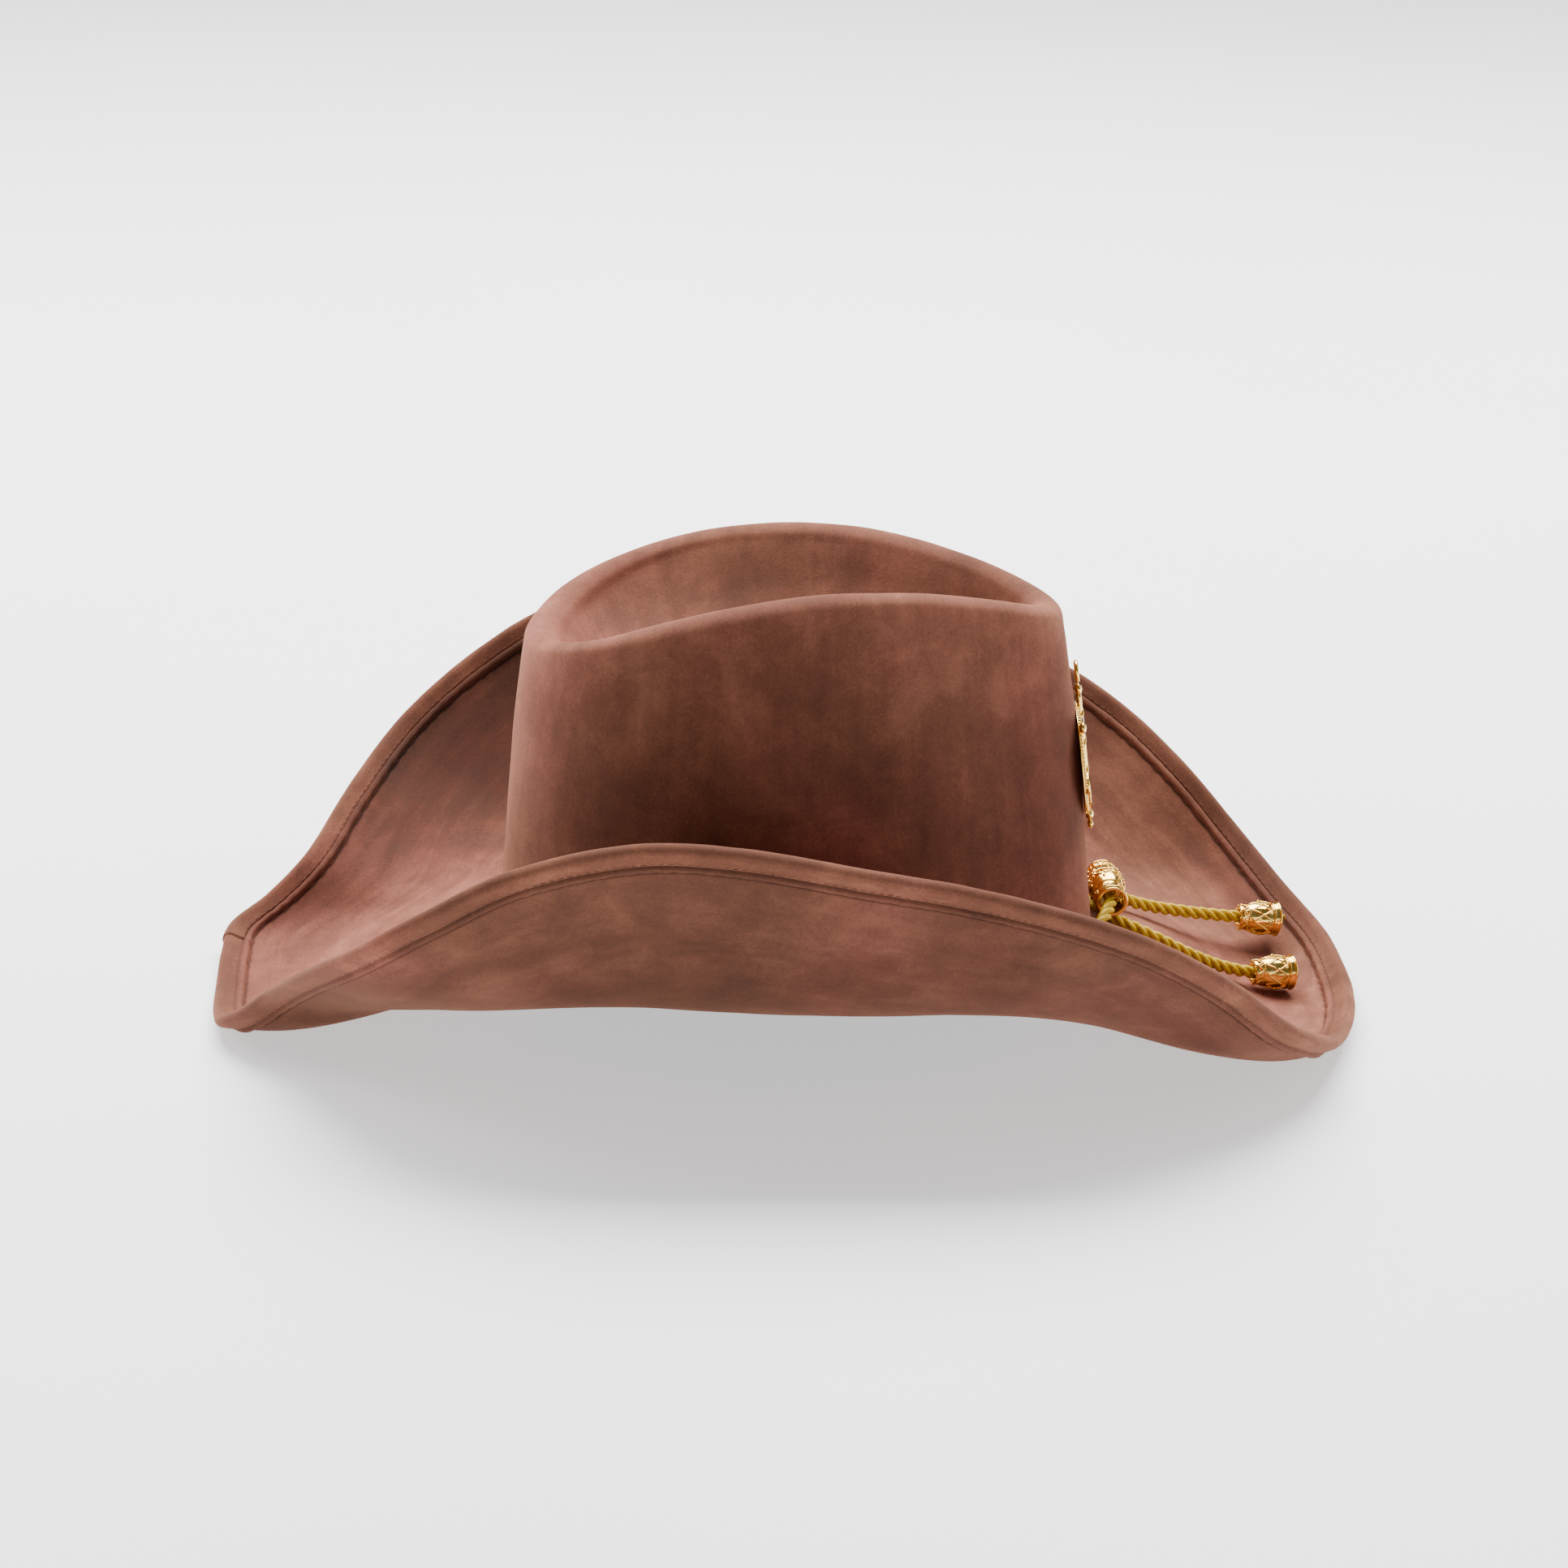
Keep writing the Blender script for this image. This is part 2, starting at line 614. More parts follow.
def dent_point(angle, share):
    """A place in the long dent, at a share of the way from the rim to its floor."""
    inner = rim_point(angle, -1.15 * RIM_ROUND, -0.8 * RIM_ROUND)
    c = np.cos(angle)
    floor = np.stack([DENT_CENTRE + DENT_HALF_LENGTH * c, 0 * c, DENT_FLOOR + DENT_RISE * c], -1)
    place = inner + (floor - inner) * share
    place[..., 2] = floor[..., 2] + (inner[..., 2] - floor[..., 2]) * (1 - share) ** 2.2
    return place


def crown_grid():
    angle = np.arange(CROWN_COLUMNS) / CROWN_COLUMNS * 2 * math.pi
    rows = [wall_point(angle, share) for share in (0, 0.22, 0.44, 0.66, 0.85, 1)]
    rows.append(rim_point(angle, 0.78 * RIM_ROUND, -0.36 * RIM_ROUND))
    rows.append(rim_place(angle))
    rows.append(rim_point(angle, -0.72 * RIM_ROUND, -0.26 * RIM_ROUND))
    rows += [dent_point(angle, share) for share in (0, 0.3, 0.65, 1)]
    return through(rows, 7)


def crown_uv(grid):
    """Round the crown along U and down it along V, both in metres."""
    rows, columns = grid.shape[:2]
    around = np.arange(columns) / columns * CROWN_ROUND
    down = lengths(grid[:, columns // 4]) * MM
    return np.stack(np.broadcast_arrays(around[None, :], down[:, None]), -1)


def handled(grid, normal):
    """Soft hollows and swells of a hat that has been shaped and handled."""
    foot = np.clip((grid[..., 2] - CROWN_FOOT) / 25, 0, 1)
    swell = 0.9 * ripple(grid, 55, 1) + 0.35 * ripple(grid, 21, 2)
    return grid + normal * (swell * foot)[..., None]


def make_crown(cloth, lining):
    grid = crown_grid()
    normal = normals(grid)
    normal[0] = unit(normal[0] * np.array([1, 1, 0]))
    normal[-1] = np.array([0, 0, 1])
    outer = handled(grid, normal)
    uv = crown_uv(grid)
    ridge = np.argmax(grid[..., 2], axis=0)
    below = grid[ridge, np.arange(CROWN_COLUMNS), 2] - grid[..., 2]
    worn = bell(below, 0, WEAR_DEPTH) + 0.7 * step(62, 104, -grid[..., 0])
    cover = shell("crown_suede", outer, outer - normal * CROWN_CLOTH, cloth, uv, MERGE,
                  -WEAR_LIGHT * worn)
    settle(cover, "suede", "hat", "crown_cover")
    top = CROWN_CLOTH + LAYER_GAP
    inside = shell("crown_lining", outer - normal * top, outer - normal * (top + LINING_CLOTH),
                   lining, uv, MERGE)
    settle(inside, "stiffener", "hat", "crown_stiffener")


def make_sweatband(cloth, thread):
    angle = np.arange(CROWN_COLUMNS) / CROWN_COLUMNS * 2 * math.pi
    rise = rim_point(angle, RIM_ROUND, -1.25 * RIM_ROUND)[:, 2] - CROWN_FOOT
    rows = []
    for height in np.linspace(BAND_START, SWEATBAND_HEIGHT, 18):
        row = wall_point(angle, (height / rise)[:, None])
        row[:, 2] = CROWN_FOOT + height
        rows.append(row)
    grid = np.array(rows)
    normal = unit(normals(grid) * np.array([1, 1, 0]))
    inset = CROWN_CLOTH + LAYER_GAP + LINING_CLOTH + BAND_GAP
    waves = BAND_WAVES * ripple(grid, 14, 3)[..., None]
    outer = grid - normal * (inset + 0.15 - waves)
    uv = crown_uv(grid)
    band = shell("sweatband_ribbon", outer, outer - normal * BAND_CLOTH, cloth, uv)
    settle(band, "linen_tape", "hat", "sweatband")
    seam = stitches(outer[3] - normal[3] * 0.8, normal[3], 3.2, 0.42)
    settle(seam.piece("sweatband_stitches", thread), "linen_tape", "hat")


def stitches(line, normal, pitch, width):
    """A row of short threads along a closed line, half sunk in the cloth."""
    build = Build()
    closed = np.concatenate([line, line[:1]])
    across = np.concatenate([normal, normal[:1]])
    along = lengths(closed)
    count = int(along[-1] / pitch)
    for k in range(count):
        ends = []
        for share, lift in STITCH_ARCH:
            at = (k + share) / count * along[-1]
            place = np.array([np.interp(at, along, closed[:, i]) for i in range(3)])
            out = np.array([np.interp(at, along, across[:, i]) for i in range(3)])
            ends.append(place + out * lift)
        build.tube(ends, STITCH_TAPER * width, 5)
    return build


# ---- brim ----

LAP_PLACE = np.array([-201.0, 40.0, 7.6])     # where the ends of the binding lap
LAP_LENGTH, LAP_THICKNESS = 26, 0.75
HEM_ROWS = np.concatenate([np.arange(0, 5, 1), np.arange(5, 12.5, 0.25), [13, 14, 16, 18]])[::-1]
EDGE_COLUMNS, FIELD_ROWS, CURVE_SAMPLES = 440, 39, 160
EDGE_LIFT_BACK, EDGE_LIFT_FRONT, EDGE_LIFT_SIDE = 16, 37.5, 66
PUCKER_PITCH, PUCKER_REACH = 6.7, 0.42
RIDGE_RISE, RIDGE_FALL, RIDGE_HEIGHT = (5.9, 7.5), (8.5, 9.5), 1.25
FOOT_INSET, FOOT_WIDTH, FOOT_DEPTH = 9.9, 0.5, 0.4
NAP_HEIGHTS, NAP_DARK, NAP_TO_BACK, NAP_PALE = (14, 46), 0.2, 0.0021, 0.2
STITCH_INSET, STITCH_HEIGHT = 5.7, 2.12
TAPE_SECTION = [
    (6.5, 1.7), (6.3, 2.0), (5.6, 2.15), (4.4, 2.25), (3.0, 2.45), (1.6, 2.6), (0.4, 2.4),
    (-0.4, 1.8), (-0.85, 0.9), (-0.95, 0),
]
TAPE_INSIDE = [(-0.1, 0.9), (0.5, 1.7), (4, 1.7), (6.2, 1.66)]


def skewed(x, y, z):
    """The front and back ends of the brim lie a little askew."""
    share = min(max((abs(x) - 184) / 16, 0), 1)
    at_end = share * share * (3 - 2 * share)
    return (x + END_SKEW * y * at_end * math.copysign(1, x), y, z)


def edge_line():
    """Places along the brim's edge, close together where the binding laps."""
    half = [skewed(x, y, z) for x, y, z in EDGE_HALF]
    other = [skewed(x, -y, z) for x, y, z in EDGE_HALF[1:-1][::-1]]
    dense = through(half + other, 60, closed=True)
    dense = np.concatenate([dense, dense[:1]])
    along = lengths(dense)
    lap = along[np.argmin(np.linalg.norm(dense[:-1] - LAP_PLACE, axis=1))]
    turns = np.arange(EDGE_COLUMNS) / EDGE_COLUMNS * along[-1]
    close = lap + np.array([-0.5, -0.3, -0.1, 0.1, 0.3, 0.5])
    turns = turns[np.abs(turns - lap) > 1.2]
    turns = np.sort(np.concatenate([turns, close]))
    line = np.stack([np.interp(turns, along, dense[:, k]) for k in range(3)], -1)
    return line, turns, lap


class Brim:
    """The brim's middle surface as a grid, from the flange inside the crown to the edge."""

    def __init__(self):
        edge, self.turns, self.lap = edge_line()
        angle = np.arctan2(edge[:, 1] * EDGE_SPREAD, edge[:, 0])
        foot, out = foot_point(angle, BREAK_OUTSET)
        foot[:, 2] = BRIM_LEVEL
        flange = foot_point(angle, -BRIM_FLANGE)[0]
        flange[:, 2] = BRIM_LEVEL
        side = (np.abs(np.sin(angle)) ** 2.4)[:, None]
        front = (np.maximum(0, np.cos(angle)) ** 3)[:, None]
        lift = np.radians(mixed(mixed(EDGE_LIFT_BACK, EDGE_LIFT_FRONT, front),
                                EDGE_LIFT_SIDE, side))
        across = unit((edge - foot) * np.array([1, 1, 0]))
        up = np.array([0, 0, 1.0])
        reach = mixed(40, 50, side)
        first = foot + out * mixed(36, 24, side) - up * mixed(mixed(8, 5, front), -5, side)
        second = edge - across * reach * np.cos(lift) - up * reach * np.sin(lift)
        t = np.linspace(0, 1, CURVE_SAMPLES)[:, None, None]
        self.set_rows(flange, (1 - t) ** 3 * foot + 3 * (1 - t) ** 2 * t * first
                      + 3 * (1 - t) * t * t * second + t ** 3 * edge)

    def set_rows(self, flange, dense):
        """Even rows out to the hem, then rows at fixed distances in from the edge."""
        steps = np.linalg.norm(np.diff(dense, axis=0), axis=-1)
        along = np.concatenate([0 * steps[:1], np.cumsum(steps, axis=0)])
        total = along[-1]
        rows = [k / FIELD_ROWS * (total - HEM_ROWS[0]) for k in range(FIELD_ROWS)]
        rows += [total - d for d in HEM_ROWS]
        places = np.empty((len(rows), dense.shape[1], 3))
        for c in range(dense.shape[1]):
            at = [row[c] for row in rows]
            for k in range(3):
                places[:, c, k] = np.interp(at, along[:, c], dense[:, c, k])
        inner = flange + (places[0] - flange) * 0.5
        self.grid = np.concatenate([[flange, inner], places])
        self.inset = np.concatenate([[total + BRIM_FLANGE, total + BRIM_FLANGE / 2],
                                     [total - row for row in rows]])
        self.grid = self.grid + self.undulation()[..., None] * np.array([0, 0, 1.0])
        normal = normals(self.grid)
        self.up = normal * np.sign(normal[2, 0, 2])
        self.up[:2] = np.array([0, 0, 1.0])
        self.out = unit(self.grid[-1] - self.grid[-3])

    def undulation(self):
        """Slight waves of a cloth-covered brim, none at the crown or the table."""
        free = np.clip(self.inset / 20, 0.25, 1) * np.clip((self.grid[..., 2] - 8) / 20, 0, 1)
        free[:4] = 0
        return free * (0.45 * ripple(self.grid, 48, 4) + 0.2 * ripple(self.grid, 17, 5))

    def uv(self):
        around = np.broadcast_to(self.turns * MM, self.inset.shape)
        return np.stack([around, self.inset * MM], -1)

    def at_inset(self, inset, height):
        """A closed line at a distance in from the edge, off the middle surface."""
        if inset <= 0:
            return self.grid[-1] + self.out * -inset + self.up[-1] * height
        rows = self.inset[:, 0]
        k = int(np.searchsorted(-rows, -inset)) - 1
        share = (rows[k] - inset) / (rows[k] - rows[k + 1])
        place = self.grid[k] + (self.grid[k + 1] - self.grid[k]) * share
        return place + unit(self.up[k] + (self.up[k + 1] - self.up[k]) * share) * height


def hem_relief(brim, seed, pucker):
    """Height added by the wired hem, a puckered ridge with a sharp inner foot, and its shade."""
    wander = 0.3 * ripple(brim.grid, 30, seed)
    inset = brim.inset + wander
    pitch = brim.turns / PUCKER_PITCH + 1.3 * ripple(brim.grid[-1], 22, seed + 2)
    gather = np.cos(pitch * 2 * math.pi) * (0.6 + 0.4 * ripple(brim.grid[-1], 35, seed + 3))
    reach = PUCKER_REACH * pucker * gather
    fall_start, fall_end = RIDGE_FALL
    ridge = step(*RIDGE_RISE, inset) * (1 - step(fall_start + reach, fall_end + reach, inset))
    foot = bell(inset, FOOT_INSET + reach, FOOT_WIDTH)
    height = ridge * (RIDGE_HEIGHT + 0.5 * pucker * gather) - FOOT_DEPTH * foot
    shade = 0.6 * foot + 0.1 * bell(inset, 6.3, 0.6)
    return height, shade


def nap_shade(brim):
    """Dark nap high on the sides, most at the back, and pale nap in the trough."""
    high = step(*NAP_HEIGHTS, brim.grid[..., 2])
    trough = step(0.75, 0.97, np.abs(brim.up[..., 2])) * step(4, 14, brim.inset)
    return (NAP_DARK - NAP_TO_BACK * brim.grid[..., 0]) * high - NAP_PALE * trough


def make_brim(cloth, under_cloth, core_cloth, steel):
    brim = Brim()
    uv = brim.uv()
    for name, side, node, surface in (("brim_suede_top", 1, "brim_top_cover", cloth),
                                      ("brim_suede_under", -1, "brim_under_cover", under_cloth)):
        out = brim.up * side
        relief, shade = hem_relief(brim, 6 + side, 1 if side > 0 else 0.3)
        if side > 0:
            shade += nap_shade(brim)
        skin = brim.grid + out * (BRIM_HALF + relief)[..., None]
        skin[..., 2] = np.maximum(skin[..., 2], 0)
        lining = brim.grid + out * (BRIM_CORE / 2 + LAYER_GAP)
        lining[..., 2] = np.maximum(lining[..., 2], 0.05)
        piece = shell(name, skin, lining, surface, uv, crease=shade)
        settle(piece, "suede", "hat", node)
    keep = brim.inset[:, 0] >= HEM_WIDTH
    core = brim.grid[keep]
    core_up = brim.up[keep]
    low = core - core_up * BRIM_CORE / 2
    low[..., 2] = np.maximum(low[..., 2], 0.15)
    core_piece = shell("brim_board", core + core_up * BRIM_CORE / 2, low, core_cloth, uv[keep])
    settle(core_piece, "stiffener", "hat", "brim_core")
    wire = Build().tube(brim.at_inset(WIRE_INSET, 0), WIRE_DIAMETER / 2, 8, True)
    settle(wire.piece("hem_wire", steel), "steel", "hat", "brim_wire")
    return brim


def lap_height(brim):
    """The upper end of the binding lies over the lower one and stops in a step."""
    past = brim.turns - brim.lap
    height = LAP_THICKNESS * (1 - np.clip(past / LAP_LENGTH, 0, 1) ** 3)
    return np.where((past > 0) & (past < LAP_LENGTH), height, 0)


def make_binding(brim, cloth, thread):
    """The folded tape round the edge, with a row of stitches on each side."""
    lap = lap_height(brim)[:, None]
    section = TAPE_SECTION + [(inset, -height) for inset, height in TAPE_SECTION[-2::-1]]
    inner = [(inset, -height) for inset, height in TAPE_INSIDE[::-1]] + TAPE_INSIDE
    rows = []
    for inset, height in section:
        line = brim.at_inset(inset, height)
        puff = 0.14 * ripple(line, 9, 8)[:, None]
        way = unit(line - brim.at_inset(max(inset, 0.0), 0))
        rows.append(line + way * (lap + puff))
    rows += [brim.at_inset(inset, height) for inset, height in inner]
    grid = np.array(rows)
    grid[..., 2] = np.maximum(grid[..., 2], 0)
    count, columns = grid.shape[:2]
    faces = grid_faces(count, columns, True)
    across = lengths(grid[:, 0]) * MM
    uv = np.stack(np.broadcast_arrays(brim.turns[None, :] * MM, across[:, None]), -1)
    piece = make_piece("edge_tape", grid.reshape(-1, 3), faces, cloth, uv.reshape(-1, 2))
    settle(piece, "suede", "hat", "edge_binding")
    build = Build()
    for side in (1, -1):
        line = brim.at_inset(STITCH_INSET, side * STITCH_HEIGHT)
        line[:, 2] = np.maximum(line[:, 2], 0.5)
        normal = unit(line - brim.at_inset(STITCH_INSET, 0))
        row = stitches(line + normal * lap * 0.95, normal, 3.0, 0.3)
        build.put(np.concatenate(row.places), row.faces)
    settle(build.piece("edge_stitches", thread), "suede", "hat")


# ---- cord ----

STRANDS, STRAND_OFFSET, STRAND_RADIUS, STRAND_SIDES, TWIST_PITCH = 3, 1.3, 1.08, 12, 13.2
FIRST_TWIST, CORD_GAP = 0.4, 0.55


def whole_cord():
    """The one cord from the near tip, round the crown and to the far tip."""
    route = NEAR_TAIL_ROUTE[::-1] + CROWN_ROUTE[1:] + FAR_TAIL_ROUTE[1:]
    return spaced(through(route, 30), CORD_GAP)


def strand_lines(line):
    """The strands' own middle lines, turned round the cord's."""
    side, up = carried_frames(line, tangents(line))
    turn = lengths(line) / TWIST_PITCH * 2 * math.pi
    lines = []
    for start in FIRST_TWIST + np.arange(STRANDS) / STRANDS * 2 * math.pi:
        swing = side * np.cos(turn + start)[:, None] + up * np.sin(turn + start)[:, None]
        lines.append(line + swing * STRAND_OFFSET)
    return lines


def rope_piece(name, line, strands, first, last, material):
    """The twisted cord between two places on its line, each strand closed at its ends."""
    build = Build()
    angle = np.arange(STRAND_SIDES) / STRAND_SIDES * 2 * math.pi
    for strand in strands:
        part = strand[first:last + 1]
        ahead = tangents(strand)[first:last + 1]
        away = part - line[first:last + 1]
        side = unit(away - ahead * np.sum(away * ahead, -1, keepdims=True))
        up = np.cross(ahead, side)
        ring = side[:, None] * np.cos(angle)[:, None] + up[:, None] * np.sin(angle)[:, None]
        places = part[:, None] + ring * STRAND_RADIUS
        faces = grid_faces(len(part), STRAND_SIDES) + end_faces(len(part), STRAND_SIDES)
        along = np.broadcast_to(lengths(part)[:, None], places.shape[:2])
        round_it = np.broadcast_to(angle, places.shape[:2])
        build.put(places, faces, np.stack([along, round_it * 1.2], -1))
    return build.piece(name, material)


def nearest(line, place):
    return int(np.argmin(np.linalg.norm(line - np.array(place), axis=1)))


def make_cords(yarn, gold):
    line = whole_cord()
    strands = strand_lines(line)
    near_root, far_root = CROWN_ROUTE[0], FAR_TAIL_ROUTE[0]
    split_near, split_far = nearest(line, near_root), nearest(line, far_root)
    near = rope_piece("rope_tail_near", line, strands, 0, split_near, yarn)
    loop = rope_piece("rope_loop", line, strands, split_near, split_far, yarn)
    far = rope_piece("rope_tail_far", line, strands, split_far, len(line) - 1, yarn)
    settle(near, "gold_cord", None, "cord_tail_near")
    settle(loop, "gold_cord", "hat", "hat_cord")
    settle(far, "gold_cord", None, "cord_tail_far")
    for piece, root, route, body in ((near, near_root, NEAR_TAIL_ROUTE, "tail_near"),
                                     (far, far_root, FAR_TAIL_ROUTE, "tail_far")):
        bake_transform(piece)
    tips = {label: make_tip(label, route, gold, yarn) for label, route in
            (("near", NEAR_TAIL_ROUTE), ("far", FAR_TAIL_ROUTE))}
    slide = make_slide(gold)


# ---- metal fittings on the cord ----

SLIDE_OUTSIDE = [
    (4.55, 0.0), (5.55, 0.15), (5.62, 0.8), (5.1, 2.0), (4.85, 4.5), (5.15, 7.6), (6.0, 11.2),
    (6.45, 15.4), (6.1, 19.4), (5.1, 22.2), (5.3, 24.6), (5.25, 25.6), (4.6, 26.0),
]
SLIDE_INSIDE = [(4.2, 25.0), (SLIDE_BORE, 22), (4.35, 13), (SLIDE_BORE, 6), (4.35, 1.0)]
SLIDE_END, SLIDE_WAY = (116.2, -3.5, 43.2), (-2.7, 25, 1.9)
SLIDE_RINGS = ((3.0, 0.12, 0.42), (8.2, 0.12, 0.36), (21.6, 0.12, 0.42), (24.9, 0.12, 0.4))
SLIDE_SCROLLS = 6
# place round the slide, height, size, slant, hand, wire radius and wire sides of each scroll
SCROLLS = ((0, 14.9, 2.5, 0.25, 1, 0.34, 7), (0.52, 14.9, 2.3, -0.3, -1, 0.3, 7),
           (0.25, 5.5, 1.2, 0.3, 1, 0.28, 6))
SLIDE_STUDS = ((11.0, 0.55), (18.9, 0.55), (14.9, 0.7))
TIP_OUTSIDE = [
    (2.7, 0.3), (3.9, 0.0), (4.4, 0.9), (4.05, 2.2), (5.0, 4.4), (5.8, 7.4), (5.85, 10.4),
    (5.5, 12.6), (6.0, 14.2), (6.25, 14.9), (5.8, 15.2),
]
TIP_INSIDE = [(5.2, 14.4), (4.6, 11.5), (4.3, 8.5), (2.75, 6.0), (2.65, 3.0)]
TIP_RINGS = ((3.3, 0.15, 0.4), (12.9, 0.15, 0.42), (14.9, -0.1, 0.42))
TIP_LOBES, TIP_SET_BACK = 8, 9
LATTICE_START, LATTICE_END = 4.2, 12.2


def aimed(place, direction):
    """The matrix that sets a turned shape's foot at a place and its axis along a direction."""
    turn = Vector((0, 1, 0)).rotation_difference(Vector(direction).normalized())
    return Matrix.Translation(Vector(place)) @ turn.to_matrix().to_4x4()


def on_lathe(profile, angle, height, lift=0.0):
    """Places on the outside of a turned shape, where profile lists (radius, height)."""
    outline = np.array(sorted(profile, key=lambda p: p[1]))
    radius = np.interp(height, outline[:, 1], outline[:, 0]) + lift
    return np.stack([radius * np.cos(angle), height + 0 * angle, -radius * np.sin(angle)], -1)


def add_rings(build, profile, rings):
    """Round beads about a turned shape, from rows of (height, lift, thickness)."""
    angle = np.arange(48) / 48 * 2 * math.pi
    for height, lift, thickness in rings:
        line = on_lathe(profile, angle, height, lift)
        build.tube(line, thickness, 8, True)


def smooth_profile(points, samples):
    rows = through([(r, h, 0) for r, h in points], samples)
    return [(r, h) for r, h, _ in rows]


def scroll(profile, angle, height, size, turn, mirror):
    """A C-scroll: a wire that curls in at both ends, laid on a turned shape."""
    t = np.linspace(-1, 1, 27)
    curl = 2.1 * math.pi * t
    radius = size * (0.95 - 0.62 * np.abs(t))
    x = radius * np.sin(curl) * 0.8 * mirror
    y = size * 1.15 * t + radius * 0.35 * np.cos(curl)
    across = x * math.cos(turn) - y * math.sin(turn)
    along = x * math.sin(turn) + y * math.cos(turn)
    reach = np.interp(height, [p[1] for p in profile], [p[0] for p in profile])
    return on_lathe(profile, angle + across / reach, height + along, 0.12)


def make_slide(gold):
    """A waisted barrel with cast rings, scrolls and studs, and a row of beads."""
    body = smooth_profile(SLIDE_OUTSIDE, 4)
    build = Build().lathe(body + smooth_profile(SLIDE_INSIDE, 3), 72)
    add_rings(build, body, SLIDE_RINGS)
    for k in range(SLIDE_SCROLLS):
        angle = k / SLIDE_SCROLLS * 2 * math.pi
        for past, height, size, slant, hand, wire, sides in SCROLLS:
            build.tube(scroll(body, angle + past, height, size, slant, hand), wire, sides)
        for height, size in SLIDE_STUDS:
            build.ball(on_lathe(body, np.array(angle + 0.26), height, 0.15), size)
    for k in range(20):
        build.ball(on_lathe(body, np.array(k / 20 * 2 * math.pi), 23.2, 0.2), 0.55)
    build.moved(aimed(SLIDE_END, SLIDE_WAY))
    return settle(build.piece("slide_filigree", gold), "gold", "slide", "cord_slide")


def make_tip(label, route, gold, yarn):
    """An acorn: pointed collar, bulb with crossed wires, and a flared open rim."""
    body = smooth_profile(TIP_OUTSIDE, 4)
    build = Build().lathe(body + smooth_profile(TIP_INSIDE, 3), 64)
    half = math.pi / TIP_LOBES
    across = np.linspace(-1, 1, 9)
    rise = np.linspace(LATTICE_START, LATTICE_END, 14)
    twist = (rise - LATTICE_START) / (LATTICE_END - LATTICE_START) * 2 * half
    for k in range(TIP_LOBES):
        angle = 2 * half * k
        point = on_lathe(body, angle + half * across, 0.5 + 2.6 * np.abs(across), 0.25)
        build.tube(point, 0.34, 6)
        build.ball(on_lathe(body, np.array(angle), 0.3, 0.5), 0.55)
        for way in (1, -1):
            build.tube(on_lathe(body, angle + way * twist, rise, 0.05), 0.34, 6)
        build.ball(on_lathe(body, np.array(angle + half), 8.2, 0.15), 0.62)
        build.ball(on_lathe(body, np.array(angle), 10.4, 0.1), 0.42)
    add_rings(build, body, TIP_RINGS)
    before, last = (np.array(p, dtype=float) for p in route[-2:])
    way = unit(last - before)
    build.moved(aimed(last - way * TIP_SET_BACK, way))
    tip = settle(build.piece(f"tip_{label}", gold), "gold", f"tail_{label}", f"acorn_{label}")
    knot = make_knot(label, last + way * 0.3, way, yarn)
    return [tip, knot]


def make_knot(label, place, way, yarn):
    """The cord's end inside the tip: a turned-back knot and a few loose yarns."""
    build = Build()
    t = np.linspace(0, 1, 70)
    turn = t * 5 * math.pi
    radius = 1.9 + 0.9 * np.sin(math.pi * t)
    coil = np.stack([radius * np.cos(turn), 0.6 + 5.2 * t, radius * np.sin(turn)], -1)
    build.tube(coil, 1.05, 10)
    poke = 9.2 if label == "far" else 6.5
    core = through([(0, 0, 0), (0.4, 3, 0.3), (-0.3, 6, 0.4), (0.5, poke, 1.0)], 8)
    build.tube(core, np.linspace(1.5, 0.9 if label == "far" else 0.5, len(core)), 9)
    for k in range(5):
        lean = k * 1.3
        end = (1.3 * math.cos(lean), 8.6 + 0.5 * (k % 3), 1.3 * math.sin(lean))
        yarn_line = through([(0.2, 5, 0), (0.5 * math.cos(lean), 7, 0.5 * math.sin(lean)), end], 5)
        build.tube(yarn_line, 0.16, 5)
    build.moved(aimed(place, way))
    piece = build.piece(f"knot_{label}", yarn)
    return settle(piece, "gold_cord", f"tail_{label}", f"cord_knot_{label}")


# ---- badge ----

BADGE_HALF_WIDTH, BADGE_HALF_HEIGHT, BADGE_CENTRE = 19, 20, -2
PLATE_BACK, ANCHOR_LEVEL = 0.35, 2.1
PLATE_FRONT = ((1, 0.35), (1.02, 0.6), (1, 0.95), (0.95, 1.1), (0.9, 0.95), (0.86, 1.0),
               (0.55, 1.12), (0.25, 1.2), (0.02, 1.22))
RAYS, ROPE_TURNS = 24, 44


def badge_place():
    """The badge lies along the front of the crown: x to the side, y up, z out."""
    angle = np.array(0.0)
    up = Vector(wall_point(angle, 0.8) - wall_point(angle, 0.35)).normalized()
    side = Vector((0, 1, 0))
    turn = Matrix((side, up, side.cross(up))).transposed().to_4x4()
    return Matrix.Translation(Vector(wall_point(angle, 0.58))) @ turn


def oval(half_width, half_height, count=96, centre=BADGE_CENTRE):
    angle = np.arange(count) / count * 2 * math.pi
    return np.stack([half_width * np.cos(angle), centre + half_height * np.sin(angle),
                     0 * angle], -1)


